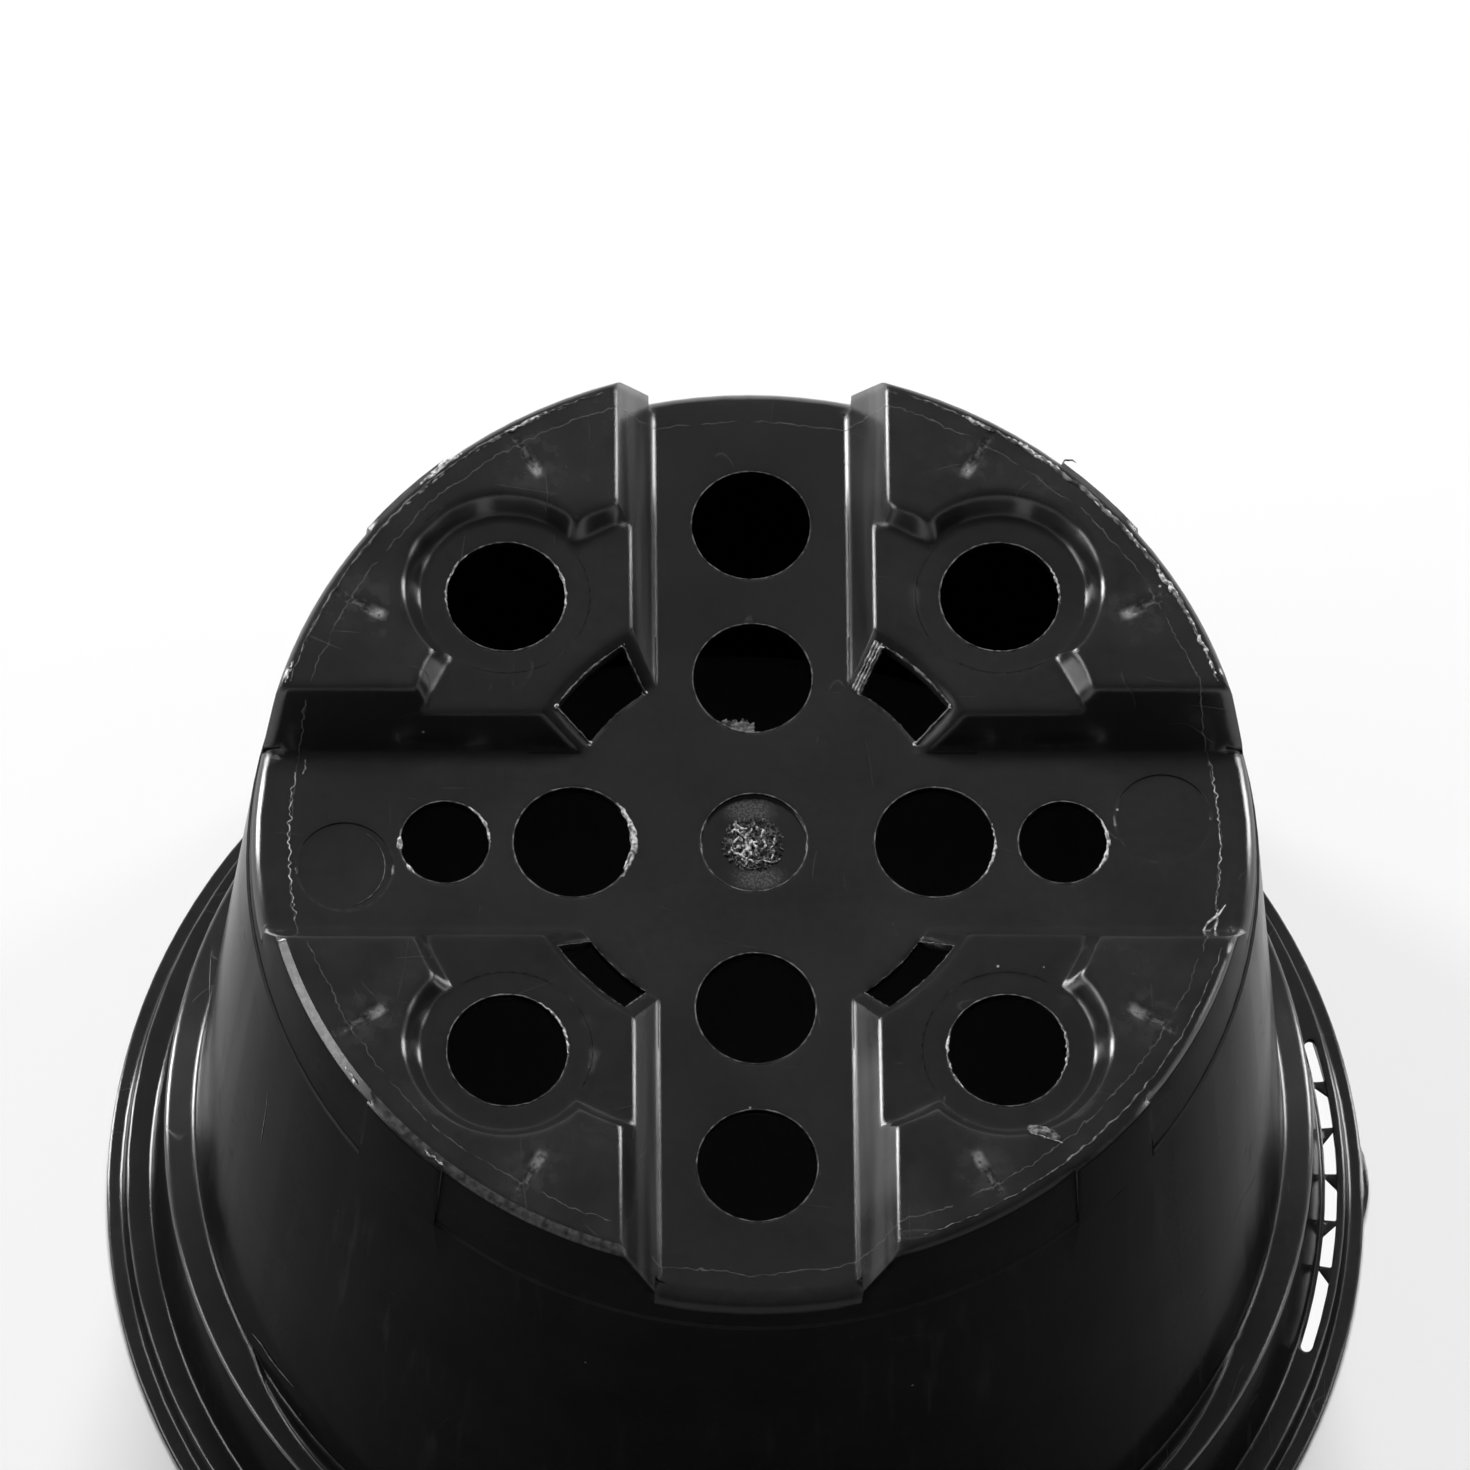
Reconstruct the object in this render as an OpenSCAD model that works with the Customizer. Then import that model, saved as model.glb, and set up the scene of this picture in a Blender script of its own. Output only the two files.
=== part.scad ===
// Round plant pot, moulded in one piece from black plastic.
// It is drawn upturned: the rim stands on z = 0 and the base, with its feet, is up.

/* [Pot] */
// Height of the pot, from the rim to the feet
pot_h = 74.6; // [60:0.1:95]
// Diameter over the lip of the rim
rim_d = 100; // [96:0.5:116]
// Diameter of the wall at the feet
base_d = 75.1; // [74:0.1:80]
// Thickness of the wall and the rim
wall_t = 0.65; // [0.5:0.05:0.9]
// Thickness of the base
base_t = 0.95; // [0.7:0.05:1.2]
// Radius of the rounded edge between the wall and the feet
foot_edge_r = 0.95; // [0.6:0.05:1.2]

/* [Rim] */
// Width of the lip outside the skirt
lip_w = 1.2; // [0.8:0.1:2]
// Thickness of the lip at its edge
lip_t = 0.9; // [0.7:0.05:1.1]
// Height of the ledge above the edge of the rim
ledge_h = 3.7; // [3:0.1:6]
// Width of the ledge between the skirt and the collar
ledge_w = 1.9; // [1.6:0.1:2.6]
// Draft of the skirt below the ledge
skirt_draft = 0.45; // [0.2:0.05:0.8]
// Height of the collar above the ledge
collar_h = 10.2; // [6:0.1:16]
// Draft of the collar
collar_draft = 1.2; // [0.6:0.1:2]
// Width of the shoulder between the collar and the wall
shoulder_w = 2.4; // [1.8:0.1:4]
// Rise of the shoulder towards the wall
shoulder_h = 1.15; // [0.6:0.05:2]

/* [Base] */
// Depth of the crossed channels below the feet
channel_depth = 5.9; // [4.5:0.1:7]
// Width of a channel at its floor
channel_w = 14.6; // [12:0.1:16]
// Width of a channel between the feet
channel_top_w = 20.7; // [19:0.1:23]
// Depth of the pads around the corner holes below the feet
pad_depth = 2.15; // [1.5:0.05:2.8]
// Width of the foot ring, from the wall's edge to the pads
foot_w = 9.75; // [9:0.05:11]
// Width of the slope between a pad and a foot
pad_slope_w = 1.3; // [0.8:0.05:1.6]
// Radius of the pad around each corner hole
pad_r = 6.5; // [5.6:0.1:7]
// Distance of the low disc in the middle of the base from the wall's edge
disc_in = 22.75; // [21.6:0.05:24.5]
// Width of the slope from the low disc up to the pads
disc_slope_w = 3.75; // [3:0.05:4.5]
// Radius of the rounded upper edges of the channels and pads
ridge_r = 0.5; // [0.2:0.05:0.8]
// Radius in the lower corners of the channels and pads
valley_r = 0.45; // [0.2:0.05:0.8]

/* [Holes] */
// Diameter of the large drainage holes
hole_d = 9.1; // [7:0.1:9.6]
// Diameter of the two small drainage holes
small_hole_d = 6.8; // [5:0.1:8]
// Distance of the outer and corner holes from the wall's edge
outer_hole_in = 11.1; // [10.5:0.05:12.5]
// Distance from an outer hole to the inner hole on its side
hole_pitch = 12.8; // [11.5:0.05:14.4]
// Distance of the small holes from the wall's edge
small_hole_in = 14.2; // [13:0.05:15]
// Width of the curved slots beside the low disc
slot_w = 3.1; // [2:0.1:3.6]
// Half of the angle that a curved slot covers
slot_half_angle = 11.5; // [6:0.5:13]

/* [Marks of the mould] */
// Height of the band around the wall below the feet
band_h = 9.1; // [6:0.1:14]
// Depth of that band, which the four corner patches fill
band_step = 0.18; // [0.05:0.01:0.3]
// Half of the angle that a patch covers
patch_half_angle = 6; // [3:0.5:10]
// Radius of the round dimple in the middle, where the plastic entered the mould
gate_r = 4.05; // [2.5:0.05:5]
// Depth of that dimple
gate_depth = 0.4; // [0.1:0.05:0.6]
// Radius of the two ejector marks at the ends of the channel
ejector_r = 3.65; // [2:0.05:4.5]
// Depth of the ejector marks
ejector_depth = 0.12; // [0.05:0.01:0.3]
// Distance of the ejector marks from the wall's edge
ejector_in = 6.65; // [5:0.05:7.5]
// Distance of the ejector marks from the middle of the channel
ejector_aside = 2; // [0:0.1:2.6]
// Length of the notches in the feet
notch_l = 3.6; // [2:0.1:4]
// Radius of the tool that makes the notches
notch_r = 0.95; // [0.5:0.05:1.2]
// Depth of the notches at their inner end
notch_depth = 0.3; // [0.1:0.05:0.5]

/* [Label slot and lugs] */
// Width of the label slot in the ledge
label_w = 0.95; // [0.6:0.05:1.1]
// Angle that the label slot covers
label_angle = 32; // [26:0.5:60]
// Direction of the middle of the label slot, from the X axis
label_at = -2; // [-20:0.5:20]
// Number of teeth in the label slot
label_teeth = 5; // [1:1:7]
// Length of a tooth along the slot
tooth_l = 1.7; // [1:0.1:3]
// How far the bump at the label slot stands out from the lip
bump_out = 0.45; // [0.2:0.05:0.8]
// Width of a stacking lug on the shoulder, at its middle
lug_w = 1.1; // [0.6:0.1:1.4]
// Half of the angle that a lug covers
lug_half_angle = 19.5; // [14:0.5:30]

/* [Hidden] */
$fn = 96;
plastic = [0.11, 0.11, 0.115];
arc_steps = 4;       // flat steps in a rounded corner of a profile
clear = 1;           // how far a cutter stands clear of what it cuts
far = 9;             // length of a line that only gives a corner its direction
corners = [45, 135, 225, 315];
sides = [0, 90, 180, 270];
lip_fall = 0.35;     // the lip's upper face falls outwards by this
small_r = 0.3;       // radius of the small corners of the rim
shoulder_r = 0.55;   // radius of the shoulder's outer edge
end_edge_r = 1.45;   // radius where a channel's floor runs out over the wall
corner_pad_sink = 0.015;  // the pads around the corner holes lie this much lower
notch_run_out = 0.7; // share of its depth that a notch loses towards the wall
notch_angles = [30, 60];
label_inset = 0.15;  // the label slot lies this far inside the middle of the ledge
end_trim = 0.06;     // the rounded ends of the label slot are narrower by this
tooth_drop = 0.3;    // the teeth lie this far below the ledge
tooth_pitch = 4.85;  // angle from one tooth to the next
teeth_turn = 2.4;    // the flat edge of the middle tooth lies this far past the slot's middle
bump_r = 9;          // radius of the bump seen from above
bump_turn = 2.9;     // the bump's middle lies this far past the slot's middle

// Heights of the levels of the base
floor_z = pot_h - channel_depth;
pad_z = pot_h - pad_depth;
band_z = pot_h - band_h;

// Radii of the rim, the collar and the wall, from the lip inwards
rim_r = rim_d / 2;
skirt_r = rim_r - lip_w;
ledge_r = skirt_r - skirt_draft;
collar_r = ledge_r - ledge_w;
collar_top_r = collar_r - collar_draft;
wall_r = collar_top_r - shoulder_w;
foot_r = base_d / 2;
collar_top_z = ledge_h + collar_h;
wall_z = collar_top_z + shoulder_h;

// Places on the base
foot_ring_r = foot_r - foot_w;
pad_floor_r = foot_ring_r - pad_slope_w;
disc_r = foot_r - disc_in;
outer_hole_at = foot_r - outer_hole_in;
inner_hole_at = outer_hole_at - hole_pitch;
small_hole_at = foot_r - small_hole_in;
label_mid_r = ledge_r - ledge_w / 2 - label_inset;
label_end_d = label_w - end_trim;

function unit(v) = v / norm(v);
function turn(a) = a > 180 ? a - 360 : a < -180 ? a + 360 : a;

// Points of an arc that rounds the corner at b between the lines to a and c
function corner(a, b, c, r) =
    let (u = unit(a - b), v = unit(c - b), half = acos(u * v) / 2,
         mid = b + unit(u + v) * r / sin(half),
         from = b + u * r / tan(half) - mid, to = b + v * r / tan(half) - mid,
         start = atan2(from[1], from[0]), step = turn(atan2(to[1], to[0]) - start) / arc_steps)
    [for (i = [0:arc_steps]) mid + r * [cos(start + i * step), sin(start + i * step)]];

// Outline of [x, y, radius] points with each corner rounded by its radius
function rounded(path) =
    [for (i = [0:len(path) - 1])
        let (a = path[max(i - 1, 0)], b = path[i], c = path[min(i + 1, len(path) - 1)])
        each b[2] == 0 ? [[b[0], b[1]]] : corner([a[0], a[1]], [b[0], b[1]], [c[0], c[1]], b[2])];

// Radius of the outside of the wall at a height
function wall_at(z) = foot_r + (wall_r - foot_r) * (pot_h - z) / (pot_h - wall_z);

// Half outline of a recess with sloping sides: rounded where it opens, filleted at its floor
function recess_half(floor_half, floor_at, top_half, top_at) =
    let (top = corner([floor_half, floor_at], [top_half, top_at], [top_half + far, top_at], ridge_r))
    concat([[0, floor_at]],
           corner([0, floor_at], [floor_half, floor_at], [top_half, top_at], valley_r),
           top,
           [[top[arc_steps][0], pot_h + clear], [0, pot_h + clear]]);

// Half outline of the same recess seen from inside the pot, one thickness further out
function recess_half_inside(floor_half, floor_at, top_half, top_at) =
    let (slope = (top_half - floor_half) / (top_at - floor_at), out = base_t * sqrt(1 + slope * slope))
    [[0, floor_at - base_t],
     [floor_half + out - slope * base_t, floor_at - base_t],
     [floor_half + out + slope * (pot_h + clear - floor_at), pot_h + clear],
     [0, pot_h + clear]];

function both_halves(half) =
    concat(half, [for (i = [len(half) - 1:-1:0]) if (half[i][0] > 0) [-half[i][0], half[i][1]]]);

// A straight channel along one side's direction, through the whole base
module channel(half, direction) {
    length = 2 * (rim_r + clear);
    rotate([90, 0, direction]) linear_extrude(length, center = true) polygon(both_halves(half));
}

module turned(half) {
    rotate_extrude() polygon(half);
}

// A wedge from the middle outwards, for cutting sectors out of rings
module wedge(direction, half_angle, z, h) {
    reach = 2 * rim_r;
    rotate(direction) translate([0, 0, z]) linear_extrude(h)
        polygon([[0, 0], [reach, -reach * tan(half_angle)], [reach, reach * tan(half_angle)]]);
}

module ring(inner, outer, z, h) {
    translate([0, 0, z]) difference() {
        cylinder(r = outer, h = h);
        translate([0, 0, -clear]) cylinder(r = inner, h = h + 2 * clear);
    }
}

// Outside of the pot, without the recesses of the base
module outside() {
    turned(rounded([
        [0, pot_h, 0],
        [wall_at(pot_h) - band_step, pot_h, foot_edge_r],
        [wall_at(band_z) - band_step, band_z, 0],
        [wall_at(band_z), band_z - band_step, 0],
        [wall_r, wall_z, small_r],
        [collar_top_r, collar_top_z, shoulder_r],
        [collar_r, ledge_h, small_r],
        [ledge_r, ledge_h, small_r],
        [skirt_r, lip_t + lip_fall, small_r / 2],
        [rim_r, lip_t, small_r],
        [rim_r, 0, small_r / 2],
        [0, 0, 0]]));
}

// Inside of the pot, without the undersides of the recesses
module inside() {
    turned([
        [0, pot_h - base_t],
        [wall_at(pot_h) - band_step - wall_t, pot_h - base_t],
        [wall_r - wall_t, wall_z - wall_t],
        [collar_top_r - wall_t, collar_top_z - wall_t],
        [collar_r - wall_t, ledge_h - wall_t],
        [ledge_r - wall_t, ledge_h - wall_t],
        [skirt_r - wall_t, 0],
        [skirt_r - wall_t, -clear],
        [0, -clear]]);
}

// The channels, the low disc and the pads, as cut into the outside
module recesses() {
    channel_half = recess_half(channel_w / 2, floor_z, channel_top_w / 2, pot_h);
    for (direction = [0, 90]) channel(channel_half, direction);
    turned(recess_half(disc_r, floor_z, disc_r + disc_slope_w, pad_z));
    turned(recess_half(pad_floor_r, pad_z, foot_ring_r, pot_h));
    for (direction = corners) rotate(direction) translate([outer_hole_at, 0, -corner_pad_sink])
        turned(recess_half(pad_r, pad_z, pad_r + pad_slope_w, pot_h));
}

// The same recesses as they stand into the inside
module recesses_inside() {
    channel_half = recess_half_inside(channel_w / 2, floor_z, channel_top_w / 2, pot_h);
    for (direction = [0, 90]) channel(channel_half, direction);
    turned(recess_half_inside(disc_r, floor_z, disc_r + disc_slope_w, pad_z));
    turned(recess_half_inside(pad_floor_r, pad_z, foot_ring_r, pot_h));
    for (direction = corners) rotate(direction) translate([outer_hole_at, 0, 0])
        turned(recess_half_inside(pad_r, pad_z, pad_r + pad_slope_w, pot_h));
    translate([0, 0, floor_z - gate_depth - base_t]) cylinder(r = gate_r + base_t, h = base_t);
}

// Rounded edge between a channel and the pads beside it
module pad_edges() {
    slope = (channel_top_w - channel_w) / 2 / channel_depth;
    edge = channel_w / 2 + slope * (pad_z - floor_z);
    arc = corner([channel_w / 2, floor_z], [edge, pad_z], [edge + far, pad_z], ridge_r);
    half = concat([[0, arc[0][1]]], arc, [[arc[arc_steps][0], pot_h + clear], [0, pot_h + clear]]);
    intersection() {
        for (direction = [0, 90]) channel(half, direction);
        translate([0, 0, floor_z]) cylinder(r = pad_floor_r, h = channel_depth + 2 * clear);
    }
}

// Rounded edge where the floors of the channels run out over the wall
module channel_ends() {
    edge = wall_at(floor_z) - band_step;
    arc = corner([0, floor_z], [edge, floor_z], [wall_at(band_z) - band_step, band_z], end_edge_r);
    low = arc[arc_steps];
    beyond = low[0] + clear;
    above = floor_z + clear;
    intersection() {
        turned(concat(arc, [[beyond, low[1]], [beyond, above], [arc[0][0], above]]));
        for (direction = [0, 90]) rotate(direction) translate([0, 0, band_z])
            linear_extrude(band_h) square([2 * rim_r, channel_w + 2 * valley_r], center = true);
    }
}

module drainage_hole(direction, at, d) {
    rotate(direction) translate([at, 0, floor_z - base_t - clear])
        cylinder(d = d, h = channel_depth + base_t + 2 * clear);
}

module drainage_holes() {
    for (direction = corners) drainage_hole(direction, outer_hole_at, hole_d);
    for (direction = sides) drainage_hole(direction, inner_hole_at, hole_d);
    for (direction = [90, 270]) drainage_hole(direction, outer_hole_at, hole_d);
    for (direction = [0, 180]) drainage_hole(direction, small_hole_at, small_hole_d);
}

// Curved slots between the low disc and the pads
module curved_slots() {
    from_z = floor_z - base_t - clear;
    cut_h = channel_depth + base_t + 2 * clear;
    intersection() {
        ring(disc_r, disc_r + slot_w, from_z, cut_h);
        for (direction = corners) wedge(direction, slot_half_angle, from_z, cut_h);
    }
}

// The shallow notches in the feet, deeper at their inner end
module notches() {
    inner_end = foot_r - foot_edge_r - notch_l;
    outer_r = notch_r - notch_depth * notch_run_out;
    for (side = sides, angle = notch_angles) rotate(side + angle)
        translate([inner_end, 0, pot_h - notch_depth + notch_r]) {
            sphere(r = notch_r);
            rotate([0, 90, 0]) cylinder(r1 = notch_r, r2 = outer_r, h = notch_l);
        }
}

// Dimple of the gate and the two ejector marks on the channel floor
module round_marks() {
    translate([0, 0, floor_z - gate_depth]) cylinder(r = gate_r, h = gate_depth + clear);
    for (side = [0, 180]) rotate(side)
        translate([foot_r - ejector_in, ejector_aside, floor_z - ejector_depth])
            cylinder(r = ejector_r, h = ejector_depth + clear);
}

// The four patches that fill the band at the corners
module patches() {
    top = pot_h - foot_edge_r / 2;
    low = band_z - wall_t;
    intersection() {
        turned([[wall_r / 2, top], [wall_at(top), top], [wall_at(low), low], [wall_r / 2, low]]);
        for (direction = corners) wedge(direction, patch_half_angle, low, band_h + clear);
    }
}

// Stacking lugs on the shoulder, below the patches: crescents that end in points
module lugs() {
    out_r = wall_r + lug_w;
    at = (out_r * out_r - wall_r * wall_r) / 2 / (out_r - wall_r * cos(lug_half_angle));
    for (direction = corners) rotate(direction) translate([at, 0, collar_top_z - wall_t / 2])
        cylinder(r = out_r - at, h = shoulder_h + wall_t / 2);
}

// One tooth of the label slot, on its outer side or its inner side
module tooth(angle, side) {
    flat = label_w / 2 + small_r;
    rotate(angle) translate([label_mid_r, 0, ledge_h - wall_t - clear])
        linear_extrude(wall_t + clear - tooth_drop)
            polygon([[-flat, 0], [flat, 0], [flat * side, -tooth_l]]);
}

// Slot with rounded ends, with the teeth left standing in it
module label_slot() {
    from_z = ledge_h - wall_t - clear;
    cut_h = wall_t + 2 * clear;
    first = label_at + teeth_turn + tooth_pitch * (label_teeth - 1) / 2;
    difference() {
        union() {
            intersection() {
                ring(label_mid_r - label_w / 2, label_mid_r + label_w / 2, from_z, cut_h);
                wedge(label_at, label_angle / 2, from_z, cut_h);
            }
            for (end = [-1, 1]) rotate(label_at + end * label_angle / 2)
                translate([label_mid_r, 0, from_z]) cylinder(d = label_end_d, h = cut_h);
        }
        for (i = [0:label_teeth - 1]) tooth(first - i * tooth_pitch, i % 2 == 0 ? 1 : -1);
    }
}

// Bump on the lip beside the label slot
module bump() {
    difference() {
        rotate(label_at + bump_turn) translate([rim_r + bump_out - bump_r, 0, small_r / 2])
            cylinder(r = bump_r, h = lip_t - small_r);
        cylinder(r = rim_r - lip_w / 2, h = lip_t + clear);
    }
}

module pot() {
    color(plastic) difference() {
        union() {
            outside();
            patches();
            lugs();
            bump();
        }
        recesses();
        pad_edges();
        channel_ends();
        round_marks();
        notches();
        difference() {
            inside();
            recesses_inside();
        }
        drainage_holes();
        curved_slots();
        label_slot();
    }
}

pot();
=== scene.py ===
from math import cos, pi, radians, sin

import bmesh
import bpy
from mathutils import Matrix, Vector
from mathutils.noise import noise as noise_at


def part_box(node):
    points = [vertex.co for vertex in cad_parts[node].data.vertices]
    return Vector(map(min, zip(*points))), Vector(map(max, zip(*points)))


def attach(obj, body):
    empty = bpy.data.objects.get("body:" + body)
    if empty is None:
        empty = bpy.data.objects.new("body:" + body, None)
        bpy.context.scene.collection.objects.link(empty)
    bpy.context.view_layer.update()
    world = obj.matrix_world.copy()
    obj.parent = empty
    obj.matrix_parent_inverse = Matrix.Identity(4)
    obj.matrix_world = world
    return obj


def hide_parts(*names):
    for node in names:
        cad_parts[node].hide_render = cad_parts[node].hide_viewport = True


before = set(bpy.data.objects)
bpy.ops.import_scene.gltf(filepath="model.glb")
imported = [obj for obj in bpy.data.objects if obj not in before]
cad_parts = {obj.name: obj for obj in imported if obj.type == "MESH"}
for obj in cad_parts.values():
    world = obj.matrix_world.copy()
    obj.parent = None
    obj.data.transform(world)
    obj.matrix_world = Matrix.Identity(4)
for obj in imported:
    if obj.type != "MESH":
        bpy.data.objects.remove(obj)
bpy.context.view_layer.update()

# The camera looks down on the upturned pot from the front, from a little over a metre away.
# Its place is worked out from where the pot's axis, rim and base lie in a picture of 1470 by 1470.
MM = 0.001
pot_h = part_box("pot")[1].z
aim = Vector((-1.507 * MM, 6.211 * MM, pot_h))
camera_elevation = radians(65.48)
camera_turn = radians(-3.05)
camera_roll = radians(2.80)
camera_distance = 1.1392
picture_side = 1470
focal_pixels = 15131
turning = Matrix.Rotation(camera_turn, 3, "Z")
back = turning @ Vector((0, -cos(camera_elevation), sin(camera_elevation)))
level_right = turning @ Vector((1, 0, 0))
level_up = back.cross(level_right)
right = cos(camera_roll) * level_right + sin(camera_roll) * level_up
up = cos(camera_roll) * level_up - sin(camera_roll) * level_right
looking = Matrix((right, up, back)).transposed().to_4x4()
camera_data = bpy.data.cameras.new("camera")
camera_data.sensor_width = 36
camera_data.lens = camera_data.sensor_width * focal_pixels / picture_side
camera_data.clip_start = 0.05
camera_data.clip_end = 20
camera = bpy.data.objects.new("camera", camera_data)
bpy.context.scene.collection.objects.link(camera)
camera.matrix_world = Matrix.Translation(aim + camera_distance * back) @ looking
bpy.context.scene.camera = camera


# The pot is one moulding in black polypropylene, with a glossy skin that the steel mould gave it.
# Its mesh is a copy of the solid's own, merged, with its sharp corners softened by a fine bevel.
class Socket:
    """A node's output, with the operators that the finishes are written in."""

    def __init__(self, tree, link):
        self.tree = tree
        self.link = link

    def node(self, kind, settings=None, output=0, **inputs):
        """Any node. A socket is given by its name, or as _2 by its number."""
        made = self.tree.nodes.new(kind)
        for name, value in (settings or {}).items():
            setattr(made, name, value)
        for name, value in inputs.items():
            key = int(name[1:]) if name[0] == "_" else name.replace("_", " ")
            if isinstance(value, Socket):
                self.tree.links.new(value.link, made.inputs[key])
            else:
                made.inputs[key].default_value = value
        return Socket(self.tree, made.outputs[output])

    def maths(self, operation, other=0.0, swap=False):
        a, b = (other, self) if swap else (self, other)
        return self.node("ShaderNodeMath", {"operation": operation}, _0=a, _1=b)

    def __add__(self, other):
        return self.maths("ADD", other)

    def __radd__(self, other):
        return self.maths("ADD", other, True)

    def __sub__(self, other):
        return self.maths("SUBTRACT", other)

    def __rsub__(self, other):
        return self.maths("SUBTRACT", other, True)

    def __mul__(self, other):
        return self.maths("MULTIPLY", other)

    def __rmul__(self, other):
        return self.maths("MULTIPLY", other, True)

    def __pow__(self, other):
        return self.maths("POWER", other)

    def __abs__(self):
        return self.maths("ABSOLUTE")

    def least(self, other):
        return self.maths("MINIMUM", other)

    def most(self, other):
        return self.maths("MAXIMUM", other)

    def ramp(self, low, high):
        """0 at low, 1 at high, smooth between and level beyond. Low may be the larger."""
        return self.node("ShaderNodeMapRange", {"interpolation_type": "SMOOTHSTEP"},
                         Value=self, From_Min=low, From_Max=high)


def new_material(name):
    """A new material, its shader, and the place on the piece that its finish is worked out from."""
    material = bpy.data.materials.new(name)
    material.use_nodes = True
    tree = material.node_tree
    coordinates = tree.nodes.new("ShaderNodeTexCoord")
    return material, tree.nodes["Principled BSDF"], Socket(tree, coordinates.outputs["Object"])


def finish(shader, **sockets):
    """Gives the shader's sockets a number each, or a link where it varies over the surface."""
    for name, value in sockets.items():
        key = name.replace("_", " ")
        if isinstance(value, Socket):
            value.tree.links.new(value.link, shader.inputs[key])
        else:
            shader.inputs[key].default_value = value


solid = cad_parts["pot"]
pot = solid.copy()
pot.data = solid.data.copy()
pot.name = "pot_shell"
pot.parent = None
bpy.context.scene.collection.objects.link(pot)
bpy.ops.object.select_all(action="DESELECT")
pot.select_set(True)
bpy.context.view_layer.objects.active = pot
bpy.ops.object.mode_set(mode="EDIT")
bpy.ops.mesh.select_all(action="SELECT")
bpy.ops.mesh.remove_doubles(threshold=0.001 * MM)
bpy.ops.mesh.dissolve_limited(angle_limit=radians(0.6))
bpy.ops.object.mode_set(mode="OBJECT")

edge_round = 0.06 * MM
sharp_from = radians(38)
smooth_below = radians(40)
shape = bmesh.new()
shape.from_mesh(pot.data)
weight = shape.edges.layers.float.new("bevel_weight_edge")
for edge in shape.edges:
    if len(edge.link_faces) != 2 or edge.calc_face_angle() < sharp_from:
        continue
    nearby = [other.calc_length() for vert in edge.verts for other in vert.link_edges]
    if min(nearby) > 2 * edge_round:
        edge[weight] = 1
shape.to_mesh(pot.data)
shape.free()
softening = pot.modifiers.new("softening", "BEVEL")
softening.width = edge_round
softening.segments = 2
softening.limit_method = "WEIGHT"
softening.use_clamp_overlap = False
bpy.ops.object.modifier_apply(modifier=softening.name)
bpy.ops.object.shade_smooth_by_angle(angle=smooth_below)
flats = pot.modifiers.new("flats", "WEIGHTED_NORMAL")
flats.weight = 100
flats.keep_sharp = True
bpy.ops.object.modifier_apply(modifier=flats.name)

black_plastic, shader, place = new_material("black_plastic")
facing = Socket(place.tree, place.link.node.outputs["Normal"])
x, y, z = (place.node("ShaderNodeSeparateXYZ", output=axis, Vector=place) for axis in (0, 1, 2))
sideways, upward = (facing.node("ShaderNodeSeparateXYZ", output=axis, Vector=facing) for axis in (0, 2))
radius = (x * x + y * y) ** 0.5


def noise(size, detail=2.0, stretch=(1, 1, 1), turn=0.0):
    """Noise from 0 to 1 with blotches about one size across, and longer where stretch is small."""
    moved = place.node("ShaderNodeMapping", Vector=place, Rotation=(0, 0, radians(turn)), Scale=stretch)
    return place.node("ShaderNodeTexNoise", Vector=moved, Scale=1 / size, Detail=detail)


def hairline(size, stretch, turn, width):
    """Fine lines where a noise passes its middle value."""
    return abs(noise(size, 1.0, stretch, turn) - 0.5).ramp(width, 0.0)


def band(value, middle, half, soft):
    """1 within half of the middle, falling to 0 over the soft width beyond."""
    return abs(value - middle).ramp(half + soft, half)


# Every edge is rounded, on the rim and the base more than on the wall. The outer edge of the base,
# the channels' sides and the steps around the corner holes are the roundest.
floor_z = pot_h - 5.9 * MM
pad_z = pot_h - 2.15 * MM
side_at = 8.8 * MM
edge_r = 36.6 * MM
outer_at = 26.45 * MM
corner_at = outer_at * cos(radians(45))
rim_or_base = z.ramp(20 * MM, 18 * MM) + z.ramp(pot_h - 8 * MM, pot_h - 6.5 * MM)
outer_edge = radius.ramp(36.3 * MM, 36.9 * MM) * z.ramp(pot_h - 7.5 * MM, pot_h - 6.9 * MM)
sides_along_y = band(abs(x), side_at, 2.2 * MM, 0.4 * MM) * abs(y).ramp(8.5 * MM, 9.5 * MM)
sides_along_x = band(abs(y), side_at, 2.2 * MM, 0.4 * MM) * abs(x).ramp(8.5 * MM, 9.5 * MM)
from_corner = ((abs(x) - corner_at) ** 2 + (abs(y) - corner_at) ** 2) ** 0.5
corner_step = band(from_corner, 8.6 * MM, 2.2 * MM, 0.5 * MM)
soft_edge = sides_along_y.most(sides_along_x).most(corner_step) * z.ramp(pot_h - 7 * MM, pot_h - 6.5 * MM)
round_r = 0.08 * MM + 0.4 * MM * rim_or_base + 0.25 * MM * outer_edge + 0.4 * MM * soft_edge
rounded = place.node("ShaderNodeBevel", {"samples": 10}, Radius=round_r)
straight = place.node("ShaderNodeNewGeometry", output=1)
alike = rounded.node("ShaderNodeVectorMath", {"operation": "DOT_PRODUCT"}, 1, _0=rounded, _1=straight)
turned = 1 - alike

on_feet = z.ramp(pot_h - 0.5 * MM, pot_h - 0.2 * MM)
on_base = z.ramp(pot_h - 7.5 * MM, pot_h - 6.2 * MM)
on_wall = upward.ramp(0.3, 0.15) * z.ramp(pot_h - 6 * MM, pot_h - 8 * MM)

# Cloudy flow marks and a fine grain, the channels' floors painted slightly paler as painted light,
# and a greyer skin on the feet, which rub on whatever the pot is pushed across
black = 0.016
grey = black * (0.65 + 0.7 * noise(7 * MM, 3.0)) * (0.75 + 0.5 * noise(0.7 * MM, 2.0))
# Painted light: the level floors of the channels are made a little paler, to offset the shade the feet cast
# on them
grey = grey * (1 + 0.12 * band(z, floor_z, 0.3 * MM, 0.3 * MM))
grey = grey + 0.007 * on_feet * noise(5 * MM, 4.0).ramp(0.35, 0.75)
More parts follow.
